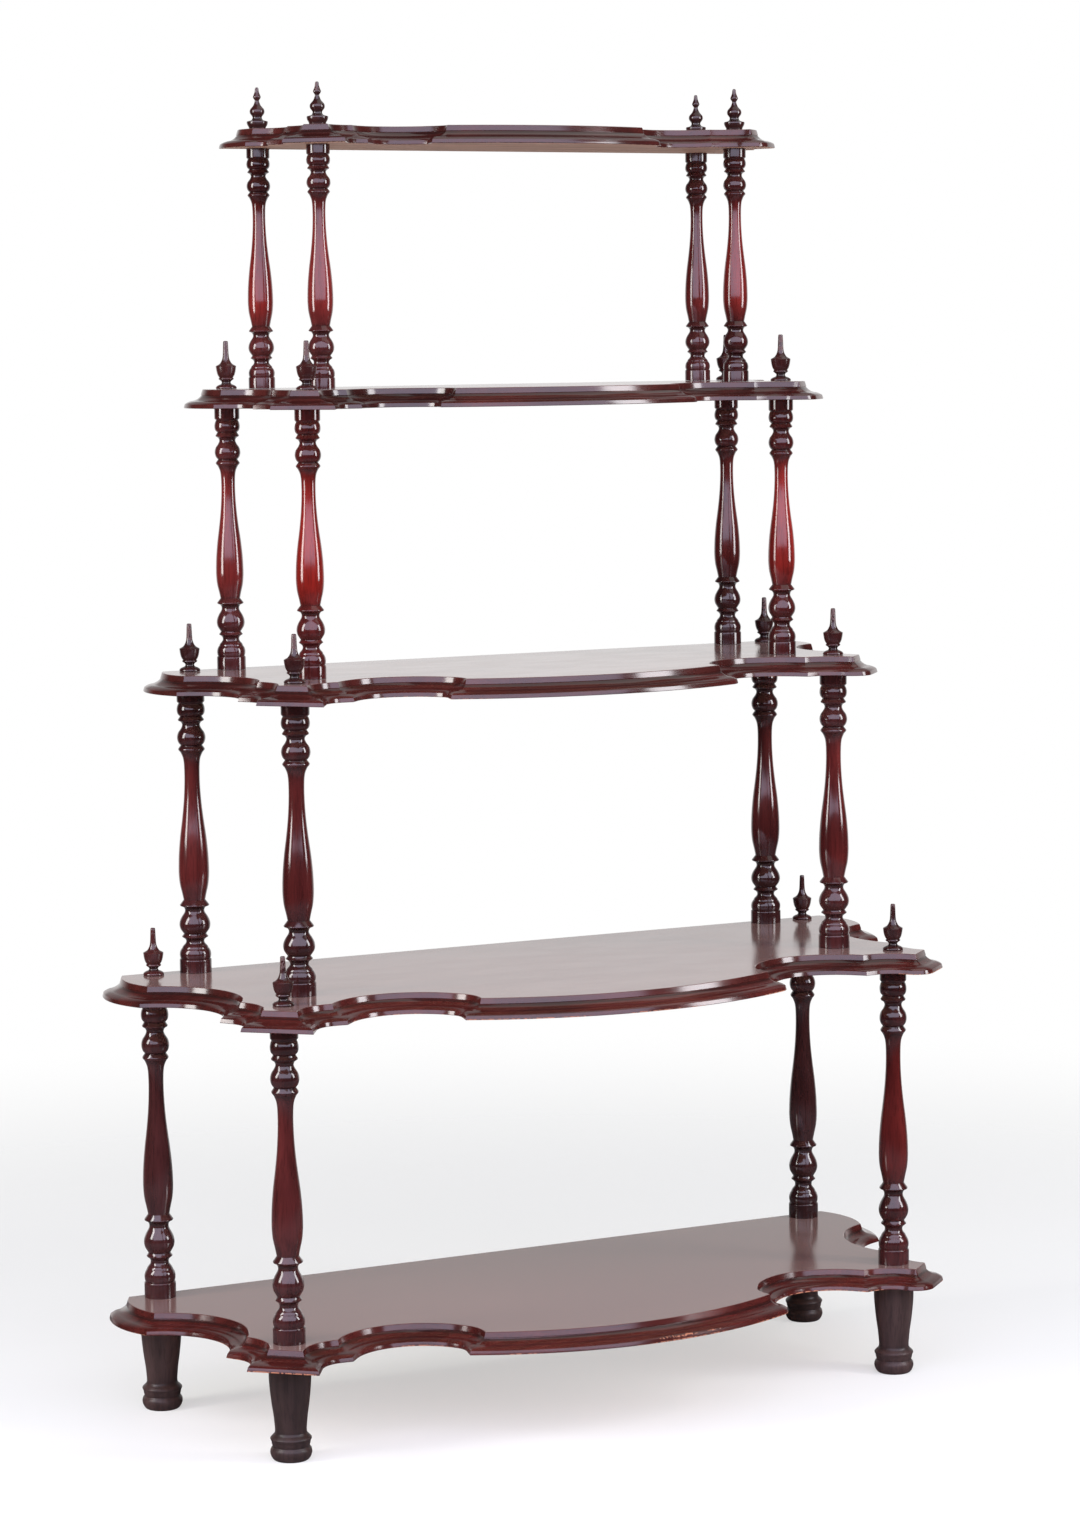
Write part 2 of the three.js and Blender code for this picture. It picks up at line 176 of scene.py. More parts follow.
def stained_wood(name, grain, stain, gloss, bump, bright=None, worn=None, dust_and_sheen=None, ior=1.55):
    """Varnished wood whose grain runs along one axis.

    Painted shade darkens the stain where an attribute marks it: in the hollows of the turned
    pieces, and in a line along each cove and over the mouldings of the shelves. Where there is a
    bright colour, the stain goes over to it with the bright attribute, partly as its own tone and
    partly as painted light and shade. Dust with a painted sheen pales the wood where another
    attribute says, and bare wood shows in chips where the worn one is high.
    """
    material = bpy.data.materials.new(name)
    material.use_nodes = True
    tree = material.node_tree
    shader = tree.nodes["Principled BSDF"]
    place = object_place(tree)

    def pattern(waves, **settings):
        across, along = waves
        scale = tuple(along if axis == grain else across for axis in "XYZ")
        return stretched_noise(tree, place, scale, **settings)

    colour = (*stain, 1)
    # The bright colour is partly the wood's own tone and partly painted light and shade
    if bright:
        colour = blend_colours(tree, attribute(tree, "bright"), colour, (*bright, 1))
    patterns = (
        (pattern(STREAKS, detail=6, roughness=0.62), NOISE_RANGE, STREAK_TONES),
        (pattern(CLOUDS, detail=2), NOISE_RANGE, CLOUD_TONES),
        (pattern(PORES, detail=2), PORE_RANGE, PORE_TONES),
    )
    for noise, values, tones in patterns:
        tone = fade(tree, noise, *values, *tones)
        colour = blend_colours(tree, 1.0, colour, tone, "MULTIPLY")
    # Dust on the flat tops, with a painted sheen for the pale haze they reflect
    if dust_and_sheen:
        colour = blend_colours(tree, attribute(tree, "dusty_sheen"), colour, (*dust_and_sheen, 1))
    # Painted shade darkens the wood as far as its attribute says
    shade_amount = multiply(tree, attribute(tree, "painted_shade"), PAINTED_SHADE_SHARE)
    colour = blend_colours(tree, shade_amount, colour, PAINTED_SHADE)
    rough = fade(tree, pattern(GLOSS_PATCHES), *NOISE_RANGE, *gloss)
    if worn:
        chips = fade(tree, pattern(CHIPS, detail=3), *CHIP_RANGE)
        spread = fade(tree, stretched_noise(tree, place, WORN_PATCHES, detail=2), *WORN_RANGE)
        amount = multiply(tree, attribute(tree, "worn"), spread)
        chipped = fade(tree, multiply(tree, amount, chips), *CHIPPED_RANGE)
        colour = blend_colours(tree, chipped, colour, (*worn, 1))
        inputs = {0: chipped, 2: rough, 3: CHIP_ROUGHNESS}
        rough = add_node(tree, "ShaderNodeMix", inputs).outputs[0]
    tree.links.new(colour, shader.inputs["Base Color"])
    tree.links.new(rough, shader.inputs["Roughness"])
    shader.inputs["IOR"].default_value = ior
    inputs = {"Strength": bump, "Distance": RIPPLE_HEIGHT, "Height": pattern(RIPPLES, detail=3)}
    bumped = add_node(tree, "ShaderNodeBump", inputs)
    tree.links.new(bumped.outputs["Normal"], shader.inputs["Normal"])
    return material


def bare_wood(name, stops):
    """Unstained sawn wood, as on the undersides."""
    material = bpy.data.materials.new(name)
    material.use_nodes = True
    tree = material.node_tree
    shader = tree.nodes["Principled BSDF"]
    streaks = stretched_noise(tree, object_place(tree), SAWN_STREAKS, detail=6, roughness=0.65)
    tree.links.new(ramp(tree, streaks, stops), shader.inputs["Base Color"])
    shader.inputs["Roughness"].default_value = SAWN_ROUGHNESS
    inputs = {"Strength": SAWN_BUMP, "Distance": SAWN_HEIGHT, "Height": streaks}
    bumped = add_node(tree, "ShaderNodeBump", inputs)
    tree.links.new(bumped.outputs["Normal"], shader.inputs["Normal"])
    return material


shelf_finish = stained_wood(
    "shelf_varnish",
    "X",
    stain=(0.07, 0.0105, 0.008),
    gloss=(0.135, 0.16),
    bump=0.03,
    worn=(0.36, 0.13, 0.06),
    # Dust on the flat tops, with a painted sheen for the pale haze they reflect
    dust_and_sheen=(0.17, 0.102, 0.087),
)
post_finish = stained_wood(
    "post_varnish",
    "Z",
    stain=(0.03, 0.0095, 0.009),
    gloss=(0.1, 0.14),
    bump=0.04,
    # The bright vase colour, partly the wood's tone and partly painted light
    bright=(0.2, 0.012, 0.008),
)
finial_finish = stained_wood(
    "finial_varnish",
    "Z",
    stain=(0.036, 0.0085, 0.0075),
    gloss=(0.16, 0.24),
    bump=0.05,
    worn=(0.085, 0.04, 0.035),
)
foot_finish = stained_wood(
    "foot_stain",
    "Z",
    stain=(0.035, 0.02, 0.0175),
    gloss=(0.36, 0.44),
    bump=0.12,
    ior=1.35,
)
underside_finish = bare_wood(
    "bare_underside",
    [(0.3, (0.33, 0.17, 0.10)), (0.55, (0.52, 0.29, 0.19)), (0.75, (0.63, 0.37, 0.25))],
)


# Modelling


def start_at(name, place):
    """A new piece in edit mode that holds one selected point."""
    bpy.ops.mesh.primitive_plane_add(size=MM, location=(0, 0, 0))
    piece = bpy.context.object
    piece.name = name
    piece.data.name = name
    bpy.ops.object.mode_set(mode="EDIT")
    bpy.ops.mesh.select_mode(type="VERT")
    bpy.ops.mesh.select_all(action="SELECT")
    bpy.ops.mesh.merge(type="CENTER")
    bpy.ops.transform.translate(value=place)
    return piece


def draw_line(step):
    """Extrudes the selected points by a step."""
    bpy.ops.mesh.extrude_region_move(TRANSFORM_OT_translate={"value": tuple(step)})


def select_points(piece, wanted):
    """Selects the points whose place is wanted, and nothing else."""
    bpy.ops.object.mode_set(mode="OBJECT")
    for group in (piece.data.vertices, piece.data.edges, piece.data.polygons):
        for item in group:
            item.select = False
    for vertex in piece.data.vertices:
        vertex.select = wanted(vertex.co)
    bpy.ops.object.mode_set(mode="EDIT")


def close_mesh():
    """Merges doubles and points every face outwards."""
    bpy.ops.mesh.select_all(action="SELECT")
    bpy.ops.mesh.remove_doubles(threshold=MERGE)
    bpy.ops.mesh.normals_make_consistent(inside=False)


def finish_piece(piece, materials, angle):
    bpy.ops.object.mode_set(mode="OBJECT")
    for material in materials:
        piece.data.materials.append(material)
    bpy.ops.object.shade_smooth_by_angle(angle=math.radians(angle))


def paint(piece, name, amount_at):
    """Stores an amount for each point, for the finish to read."""
    layer = piece.data.attributes.new(name, "FLOAT", "POINT")
    for vertex, cell in zip(piece.data.vertices, layer.data):
        cell.value = amount_at(vertex.co)


def fit(piece, slot, *nodes):
    """The piece stands for its solids and stays where they are."""
    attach(piece, "root")
    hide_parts(*nodes)
    piece.select_set(False)


# Turned pieces

# Steps around a turned piece and along each of its curves, and its least angle of a crease
SPIN_STEPS = 44
CURVE_STEPS = 3
TURNED_CREASE = 38
# Painted shade darkens a point by how far it lies inside the mean radius of the rows within this
# reach
HOLLOW_REACH = 5 * MM
HOLLOW_DEPTH = 3.2 * MM


def turned_profile(rows):
    """Points (radius, height) through rows of kind, height and radius.

    A sharp row is a corner, and the points between two corners lie on one smooth curve.
    """
    points = [Vector((radius, height)) for kind, height, radius in rows]
    sharp = [kind == "sharp" for kind, height, radius in rows]

    def heading(i):
        return (points[i + 1] - points[i - 1]).normalized()

    profile = [points[0]]
    for i in range(len(points) - 1):
        a, b = points[i], points[i + 1]
        if sharp[i] and sharp[i + 1]:
            profile.append(b)
            continue
        third = (b - a).length / 3
        start = a + (b - a) / 3 if sharp[i] else a + heading(i) * third
        end = b - (b - a) / 3 if sharp[i + 1] else b - heading(i + 1) * third
        profile += interpolate_bezier(a, start, end, b, CURVE_STEPS + 1)[1:]
    return profile


def turn_piece(name, rows, material, worn_from=None):
    """A closed piece turned about the upright axis through the origin.

    Above the height worn_from it is painted more and more worn, up to its top.
    """
    profile = turned_profile(rows)
    bottom, top = profile[0].y, profile[-1].y
    stops = [Vector((0, bottom)), *profile, Vector((0, top))]
    piece = start_at(name, (0, 0, bottom))
    for before, after in zip(stops, stops[1:]):
        draw_line((after.x - before.x, 0, after.y - before.y))
    bpy.ops.mesh.select_all(action="SELECT")
    bpy.ops.mesh.spin(steps=SPIN_STEPS, angle=math.tau, center=(0, 0, 0), axis=UP)
    close_mesh()
    finish_piece(piece, [material], TURNED_CREASE)

    def painted_shade_at(place):
        near = [point.x for point in profile if abs(point.y - place.z) < HOLLOW_REACH]
        radius = math.hypot(place.x, place.y)
        if not near or radius < MM:
            return 0
        depth = sum(near) / len(near) - radius
        return min(max(depth / HOLLOW_DEPTH, 0), 1)

    # Painted shade in the grooves, darker the deeper a point lies
    paint(piece, "painted_shade", painted_shade_at)
    if worn_from is not None:
        worn_length = top - worn_from
        paint(piece, "worn", lambda place: min(max((place.z - worn_from) / worn_length, 0), 1))
    return piece


def stand_copy(model, name, place, turn):
    """A copy of the model with its own mesh, turned and stood at its place."""
    piece = model.copy()
    piece.data = model.data.copy()
    piece.name = name
    piece.data.name = name
    bpy.context.scene.collection.objects.link(piece)
    piece.data.transform(Matrix.Translation(place) @ Matrix.Rotation(turn, 4, "Z"))
    return piece


# The turnings of a post, as shares of their own height and of the post's radius
LOWER_TURNING = [
    ("sharp", 0, 1),
    ("sharp", 0.172, 1),
    ("round", 0.186, 0.985),
    ("sharp", 0.198, 0.925),
    ("round", 0.212, 0.957),
    ("round", 0.262, 0.985),
    ("round", 0.312, 0.945),
    ("sharp", 0.347, 0.86),
    ("sharp", 0.353, 0.825),
    ("round", 0.372, 0.8),
    ("round", 0.392, 0.74),
    ("sharp", 0.408, 0.67),
    ("round", 0.43, 0.6),
    ("round", 0.455, 0.57),
    ("round", 0.482, 0.6),
    ("round", 0.505, 0.71),
    ("sharp", 0.52, 0.81),
    ("sharp", 0.53, 0.825),
    ("round", 0.55, 0.75),
    ("sharp", 0.57, 0.7),
    ("round", 0.605, 0.81),
    ("round", 0.65, 0.925),
    ("round", 0.708, 0.97),
    ("round", 0.77, 0.925),
    ("round", 0.83, 0.8),
    ("round", 0.88, 0.66),
    ("round", 0.912, 0.61),
    ("round", 0.945, 0.63),
    ("round", 0.97, 0.72),
    ("sharp", 0.988, 0.89),
    ("round", 1, 0.92),
    ("sharp", 1.01, 0.9),
]
VASE = [
    ("sharp", 0.034, 0.68),
    ("round", 0.075, 0.762),
    ("round", 0.13, 0.886),
    ("round", 0.18, 0.94),
    ("round", 0.23, 0.955),
    ("round", 0.33, 0.92),
    ("round", 0.44, 0.82),
    ("round", 0.55, 0.676),
    ("round", 0.66, 0.557),
    ("round", 0.77, 0.49),
    ("round", 0.87, 0.481),
    ("round", 0.94, 0.533),
    ("round", 0.98, 0.686),
    ("sharp", 0.994, 0.8),
]
UPPER_TURNING = [
    ("round", 0.006, 0.835),
    ("sharp", 0.024, 0.81),
    ("sharp", 0.071, 0.675),
    ("round", 0.12, 0.82),
    ("round", 0.2, 0.89),
    ("round", 0.285, 0.82),
    ("round", 0.35, 0.65),
    ("round", 0.411, 0.56),
    ("round", 0.455, 0.62),
    ("sharp", 0.486, 0.8),
    ("sharp", 0.505, 0.82),
    ("round", 0.53, 0.75),
    ("sharp", 0.558, 0.69),
    ("round", 0.6, 0.83),
    ("round", 0.669, 0.88),
    ("round", 0.735, 0.84),
    ("sharp", 0.772, 0.775),
    ("round", 0.788, 0.8),
    ("round", 0.805, 0.86),
    ("sharp", 0.83, 0.87),
    ("sharp", 1, 0.87),
]
# Heights of the turnings below and above the vase, in millimetres, tier by tier
TURNING_HEIGHTS = ((92.5, 76), (79, 70), (77.8, 64.8), (66.5, 54))
# The brightness of the turnings as a share of the vase's, and how far it fades in from them
TURNING_SHARE = 0.22
VASE_FADE = 30 * MM
# How bright the vases are, tier by tier and corner by corner: partly their own tone and partly
# painted light and shade
VASE_TONES_AND_LIGHT = (
    (0.13, 0.33, 0.03, 0.02),
    (0.19, 0.23, 0.18, 0.16),
    (1, 0.68, 0.33, 0.24),
    (0.37, 0.5, 0.52, 0.28),
)


def post_rows(radius, length, lower, upper):
    vase = length - lower - upper
    rows = [(kind, share * lower, r * radius) for kind, share, r in LOWER_TURNING]
    rows += [(kind, lower + share * vase, r * radius) for kind, share, r in VASE]
    top = length - upper
    rows += [(kind, top + share * upper, r * radius) for kind, share, r in UPPER_TURNING]
    return rows


def vase_share(height, vase_foot, vase_head):
    """1 on the vase, brighter in its stain and in painted light, and less on the turnings below
    and above it.
    """
    inside = min(height - vase_foot, vase_head - height) / VASE_FADE
    return TURNING_SHARE + (1 - TURNING_SHARE) * min(max(inside, 0), 1)


def middle(node):
    """The upright axis of a turned solid."""
    low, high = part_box(node)
    return (low + high) / 2


def make_posts():
    for tier, (lower, upper) in enumerate(TURNING_HEIGHTS, start=1):
        foot_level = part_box(f"shelf_{tier}")[1].z + SEAT_GAP
        head_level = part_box(f"shelf_{tier + 1}")[0].z - SEAT_GAP
        low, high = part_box(f"post_{tier}_front_left")
        radius = (high.y - low.y) / 2
        rows = post_rows(radius, head_level - foot_level, lower * MM, upper * MM)
        model = turn_piece(f"turned_post_{tier}", rows, post_finish)
        vase_foot, vase_head = foot_level + lower * MM, head_level - upper * MM
        for i, corner in enumerate(CORNERS):
            node = f"post_{tier}_{corner}"
            axis = middle(node)
            name = f"turned_post_{tier}_{corner}"
            piece = stand_copy(model, name, (axis.x, axis.y, foot_level), i + tier)
            # Each vase's brightness, partly its own tone and partly painted light and shade
            tone = VASE_TONES_AND_LIGHT[tier - 1][i]
            paint(piece, "bright", lambda place: tone * vase_share(place.z, vase_foot, vase_head))
            fit(piece, "post_wood", node)
        bpy.data.objects.remove(model)


# Heights and radii of finials and feet, in millimetres
FINIAL = [
    ("sharp", 0, 12),
    ("round", 1.5, 12.3),
    ("round", 3.1, 11.1),
    ("round", 4.4, 8.8),
    ("sharp", 5.3, 6.4),
    ("round", 7, 5.2),
    ("round", 8.8, 5.9),
    ("sharp", 10.7, 8.4),
    ("round", 11.5, 8.9),
    ("round", 12.4, 8.5),
    ("sharp", 13, 8),
    ("round", 15, 9.3),
    ("round", 17, 10.2),
    ("round", 20, 11),
    ("round", 23, 11.5),
    ("sharp", 26, 11.9),
    ("sharp", 26.6, 11.5),
    ("round", 28.5, 8),
    ("round", 30, 6.5),
    ("round", 32, 5.3),
    ("round", 34, 4.4),
    ("round", 37, 3.7),
    ("round", 42, 3.3),
    ("round", 50, 3),
    ("sharp", 54.6, 2.75),
    ("round", 55.2, 2.3),
    ("sharp", 55.5, 1.4),
]
TOP_FINIAL = [
    ("sharp", 0, 9.6),
    ("sharp", 2.6, 10),
    ("round", 3.6, 10.6),
    ("round", 6, 11.9),
    ("sharp", 8.4, 12.4),
    ("sharp", 9.5, 12),
    ("round", 10.3, 9),
    ("round", 11.3, 6.6),
    ("round", 14, 5.4),
    ("round", 16, 6.4),
    ("round", 18.5, 8.2),
    ("round", 21, 8.7),
    ("round", 23.4, 8),
    ("round", 25.6, 6.2),
    ("round", 27.6, 4.5),
    ("round", 30, 3.4),
    ("round", 33.4, 2.5),
    ("round", 35.2, 3.6),
    ("round", 37.4, 4.6),
    ("round", 39.6, 3.9),
    ("round", 43, 2.6),
    ("round", 46, 2.2),
    ("sharp", 47.8, 1.9),
    ("sharp", 48.5, 1.1),
]
# The finials are worn above these heights, in millimetres
FINIAL_WORN_FROM = 24
TOP_FINIAL_WORN_FROM = 30


def make_finials():
    kinds = [(f"finial_{shelf}", FINIAL, FINIAL_WORN_FROM) for shelf in (2, 3, 4)]
    kinds.append(("top_finial", TOP_FINIAL, TOP_FINIAL_WORN_FROM))
    for number, (kind, millimetres, worn_from) in enumerate(kinds):
        rows = [(corner, height * MM, radius * MM) for corner, height, radius in millimetres]
        model = turn_piece(f"turned_{kind}", rows, finial_finish, worn_from * MM)
        tall = rows[-1][1]
        for i, corner in enumerate(CORNERS):
            node = f"{kind}_{corner}"
            axis = middle(node)
            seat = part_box(node)[1].z - tall
            piece = stand_copy(model, f"turned_{node}", (axis.x, axis.y, seat), i + number)
            fit(piece, "finial_wood", node)
        bpy.data.objects.remove(model)


FOOT = [
    ("sharp", 0, 19.2),
    ("round", 0.9, 20.4),
    ("round", 4.2, 22.6),
    ("round", 8.6, 23.8),
    ("round", 12.6, 23.1),
    ("sharp", 15.3, 21.2),
    ("sharp", 16.2, 21),
    ("round", 18.5, 21.8),
    ("round", 21.5, 22.3),
    ("sharp", 24.2, 23.5),
    ("sharp", 25.4, 23.4),
    ("round", 27.6, 21.4),
    ("round", 29.6, 19.3),
    ("round", 32.5, 18),
    ("round", 42, 18.5),
    ("round", 52, 19.5),
    ("round", 62, 21),
    ("round", 72, 22.2),
    ("round", 82, 23.2),
    ("round", 92, 23.9),
    ("sharp", 101, 24),
    ("sharp", 112.45, 24),
]


def make_feet():
    rows = [(kind, height * MM, radius * MM) for kind, height, radius in FOOT]
    model = turn_piece("turned_foot", rows, foot_finish)
    for i, corner in enumerate(CORNERS):
        axis = middle(f"foot_{corner}")
        piece = stand_copy(model, f"turned_foot_{corner}", (axis.x, axis.y, 0), i)
        fit(piece, "foot_wood", f"foot_{corner}")
    bpy.data.objects.remove(model)


# Shelves

# Reach of each flat top past the posts, in millimetres: sideways at the back corners and at
# the front corners, then forwards at the front corners and at the middle of the bow. All reach
# the same way backwards.
SHELF_REACHES = (
    (34, 33.3, 45, 112.2),
    (34, 33.3, 45, 112.2),
    (28.5, 27.5, 41, 92.5),
    (23.5, 25.5, 37.5, 77.5),
    (18.5, 23.5, 33.5, 63),
)
BACK_REACH = 15 * MM

# Places on the flat top's outline, as shares of the reaches and of the depth between the posts
LOBE_END_OUT = 1.13
LOBE_END_ALONG = 0.27
SIDE_TIP_OUT = 0.95
SIDE_TIP_BACK = 1.04
CANT_SIDE_FRONT = 0.55
CANT_FRONT_OUT = 0.08
FRONT_TIP_IN = 1.16
FRONT_TIP_FRONT = 0.148
BOW_END_ACROSS = 0.467
BOW_END_FRONT = 0.6
SCOOP_TURN_OUT = 0.031
SCOOP_TURN_FRONT = 0.281
# How far its arcs swell, as shares of their chords, and the steps that draw them. A rise below
# zero swells outwards.
LOBE_RISE = -0.12
LOBE_STEPS = 14
SIDE_SCOOP_RISE = 0.24
SIDE_SCOOP_STEPS = 26
CANT_SCOOP_RISE = 0.155
CANT_SCOOP_STEPS = 12
FRONT_SCOOP_RISE = 0.265
FRONT_SCOOP_STEPS = 22
HOOK_RISE = 0.102
HOOK_STEPS = 8
BOW_STEPS = 26

# The moulded edge as (drop, out) in millimetres: a leaning fillet, a cove, a slope and a lip
BOARD = 21.5
FILLET = [(0, -0.6), (0.6, 0.15), (6.3, 1.85), (6.7, 1.4)]
COVE_TOP = 6.75
COVE_START = 1.4
COVE_DROP = 6.65
COVE_WIDTH = 12.1
# How round the cove is, from a flat slope at 0 to a quarter of an ellipse at 1, and the degrees
# between its rows
COVE_ROUNDNESS = 0.65
COVE_ROW_DEGREES = 15
SLOPE = [(14.1, 15.7), (15, 17.9), (16, 19.7), (16.9, 20.85)]
LIP = [(18.4, 21.3), (19.9, 21.75), (20.9, 22), (BOARD, 21.6)]
# The corners at the right end of the bow and at both ends of the right cant are worn round
CORNER_ROUNDING = 1.4 * MM
CORNER_STEPS = 8
SHELF_CREASE = 30
FACES_DOWN = -0.99
# The share of painted shade all over each shelf's moulding
EDGE_SHADES = (0.35, 0.38, 0.52, 0.52, 0.52)
# The rows of the moulding are drawn this far apart and then moved up to their own heights
ROW_SPACING = 12 * MM
# The painted shadow line in the cove: its middle lies this far below the cove's top, and it
# reaches this far up and down
COVE_SHADOW_DROP = 1.4
COVE_SHADOW_REACH = 2.6
# Chips along the lowest edge: the drop of their middle, how far up and down they reach, how many
# each shelf has, and the share of them behind the front posts
WORN_DROP = 21.3
WORN_REACH = 1.7
SHELF_WEAR = (1.15, 0.8, 0.45, 0.3, 0.3)
BACK_WEAR = 0.7
# The bottom shelf's bow is also rubbed above its lip, as far as this to each side
RUBBED_DROP = 17
RUBBED_REACH = 4.5
RUBBED_HALF = 150 * MM
RUBBED_WEAR = 0.46


def moulding():
    """(drop, out) from the flat top's edge down to the underside, in metres."""
    rows = list(FILLET)
    for degrees in range(0, 91, COVE_ROW_DEGREES):
        turn = math.radians(degrees)
        straight, round_out = math.sin(turn), 1 - math.cos(turn)
        share = straight + (round_out - straight) * COVE_ROUNDNESS
        rows.append((COVE_TOP + COVE_DROP * math.sin(turn), COVE_START + COVE_WIDTH * share))
    rows += SLOPE + LIP
    return [(drop * MM, out * MM) for drop, out in rows]


def draw_arc(start, end, rise_share, steps, part=1.0):
    """Spins the selected point from start to end on an arc.

    The arc's middle stands off the chord by rise_share of it, to the right of the way.
    """
    chord = end - start
    right = Vector((chord.y, -chord.x, 0)).normalized()
    half = chord.length / 2
    rise = rise_share * chord.length
    radius = (half * half + rise * rise) / (2 * rise)
    centre = (start + end) / 2 + right * (rise - radius)
    spread = 4 * math.atan(rise / half) * part
    bpy.ops.mesh.spin(steps=steps, angle=-spread, center=centre, axis=UP)


def draw_outline(name, node, reaches, corner_front, corner_back):
    """The flat top's outline as a loop of edges, drawn on the right and mirrored."""
    lobe, side, front, bow = (reach * MM for reach in reaches)
    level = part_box(node)[1].z
    front_half, front_y = corner_front
    back_half, back_y = corner_back

    def at(x, y):
        return Vector((x, y, level))

    back_middle = at(0, back_y + BACK_REACH)
    back_corner = at(back_half + lobe, back_y + BACK_REACH)
    lobe_end = at(back_half + LOBE_END_OUT * lobe, back_y - LOBE_END_ALONG * (back_y - front_y))
    side_tip = at(front_half + SIDE_TIP_OUT * side, front_y + SIDE_TIP_BACK * front)
    cant_side = at(front_half + side, front_y - CANT_SIDE_FRONT * side)
    cant_front = at(front_half + CANT_FRONT_OUT * front, front_y - front)
    front_tip = at(front_half - FRONT_TIP_IN * front, front_y - FRONT_TIP_FRONT * bow)
    bow_end = at(BOW_END_ACROSS * front_half, front_y - BOW_END_FRONT * bow)
    scoop_turn = at(bow_end.x + SCOOP_TURN_OUT * bow, front_y - SCOOP_TURN_FRONT * bow)
    other_bow_end = at(-bow_end.x, bow_end.y)
    bow_rise = (front_y - bow - bow_end.y) / (2 * bow_end.x)

    piece = start_at(name, back_middle)
    draw_line(back_corner - back_middle)
    draw_arc(back_corner, lobe_end, LOBE_RISE, LOBE_STEPS)
    draw_arc(lobe_end, side_tip, SIDE_SCOOP_RISE, SIDE_SCOOP_STEPS)
    draw_arc(side_tip, cant_side, CANT_SCOOP_RISE, CANT_SCOOP_STEPS)
    draw_line(cant_front - cant_side)
    draw_arc(cant_front, front_tip, CANT_SCOOP_RISE, CANT_SCOOP_STEPS)
    draw_arc(front_tip, scoop_turn, FRONT_SCOOP_RISE, FRONT_SCOOP_STEPS)
    draw_arc(scoop_turn, bow_end, HOOK_RISE, HOOK_STEPS)
    draw_arc(bow_end, other_bow_end, bow_rise, BOW_STEPS, part=0.5)
    bpy.ops.mesh.select_all(action="SELECT")
    bpy.ops.mesh.duplicate()
    bpy.ops.transform.mirror(constraint_axis=(True, False, False), center_override=(0, 0, level))
    bpy.ops.mesh.select_all(action="SELECT")
    bpy.ops.mesh.remove_doubles(threshold=MERGE)
    worn_corners = (cant_side, cant_front, bow_end)
    select_points(
        piece, lambda place: min((place - corner).length for corner in worn_corners) < MERGE
    )
    bpy.ops.mesh.bevel(offset=CORNER_ROUNDING, segments=CORNER_STEPS, affect="VERTICES")
    bpy.ops.mesh.select_all(action="SELECT")
    return piece, level


def select_level(piece, level):
    select_points(piece, lambda place: abs(place.z - level) < MERGE)


def mould_edge(piece, level):
    """Draws the moulding down and out from the outline, row by row."""
    edge = moulding()
    for _ in edge[1:]:
        bpy.ops.mesh.select_mode(type="EDGE")
        draw_line((0, 0, -ROW_SPACING))
    bpy.ops.mesh.select_mode(type="VERT")
    bpy.ops.mesh.select_all(action="SELECT")
    bpy.ops.mesh.normals_make_consistent(inside=False)

    def select_from_row(row):
        select_points(piece, lambda place: place.z < level - (row - 0.5) * ROW_SPACING)

    reached = 0
    for row, (drop, out) in enumerate(edge):
        select_from_row(row)
        bpy.ops.transform.shrink_fatten(value=out - reached, use_even_offset=True)
        reached = out
    for row in range(len(edge) - 1, 0, -1):
        select_from_row(row)
        step = edge[row][0] - edge[row - 1][0]
        bpy.ops.transform.translate(value=(0, 0, ROW_SPACING - step))


def paint_shelf(piece, number, level, front_y):
    """Marks painted shade, dustiness with a painted sheen, and worn places of a shelf whose flat
    top is at a level.
    """

    def near(drop, place, reach):
        return max(1 - abs(level - place.z - drop * MM) / (reach * MM), 0)

    def on_top(place):
        return place.z > level - MERGE

    # Painted shade: a dark line in the cove, and an even share over all the moulding
    def painted_shade_at(place):
        shade = 0 if on_top(place) else EDGE_SHADES[number - 1]
        return max(near(COVE_TOP + COVE_SHADOW_DROP, place, COVE_SHADOW_REACH), shade)

    def worn_at(place):
        chipped = near(WORN_DROP, place, WORN_REACH) * SHELF_WEAR[number - 1]
        if number > 1 or place.y > front_y or abs(place.x) > RUBBED_HALF:
            return chipped * (1 if place.y < front_y else BACK_WEAR)
        return max(chipped, near(RUBBED_DROP, place, RUBBED_REACH) * RUBBED_WEAR)

    paint(piece, "painted_shade", painted_shade_at)
    # Dustiness and a painted sheen on the flat top only
    paint(piece, "dusty_sheen", lambda place: 1 if on_top(place) else 0)
    paint(piece, "worn", worn_at)


def make_shelf(number):
    node = f"shelf_{number}"
    tier = max(number - 1, 1)
    front = middle(f"post_{tier}_front_right")
    back = middle(f"post_{tier}_back_right")
    piece, level = draw_outline(
        f"moulded_shelf_{number}", node, SHELF_REACHES[number - 1], front.xy, back.xy
    )
    mould_edge(piece, level)
    underside = level - BOARD * MM
    for fill_level in (level, underside):
        select_level(piece, fill_level)
        bpy.ops.mesh.edge_face_add()
    bpy.ops.mesh.select_all(action="SELECT")
    back_edge = (0, back.y + BACK_REACH, 0)
    bpy.ops.mesh.bisect(plane_co=back_edge, plane_no=(0, 1, 0), use_fill=True, clear_outer=True)
    close_mesh()
    finish_piece(piece, [shelf_finish, underside_finish], SHELF_CREASE)
    for face in piece.data.polygons:
        if face.normal.z < FACES_DOWN and face.center.z < underside + MM:
            face.material_index = 1
    paint_shelf(piece, number, level, front.y)
    fit(piece, "shelf_wood", node)


# Stage and light

FLOOR_RADIUS = 7
# The floor is this pale for the light that it passes on, and dim in what the varnish reflects
FLOOR_PAPER = (0.85, 0.85, 0.85, 1)
FLOOR_REFLECTED = (0.16, 0.16, 0.16, 1)
# Seen by the camera, a part of its brightness takes the shadows and the rest glows evenly
FLOOR_SHADED = (0.36, 0.367, 0.35, 1)
FLOOR_GLOW = 0.53
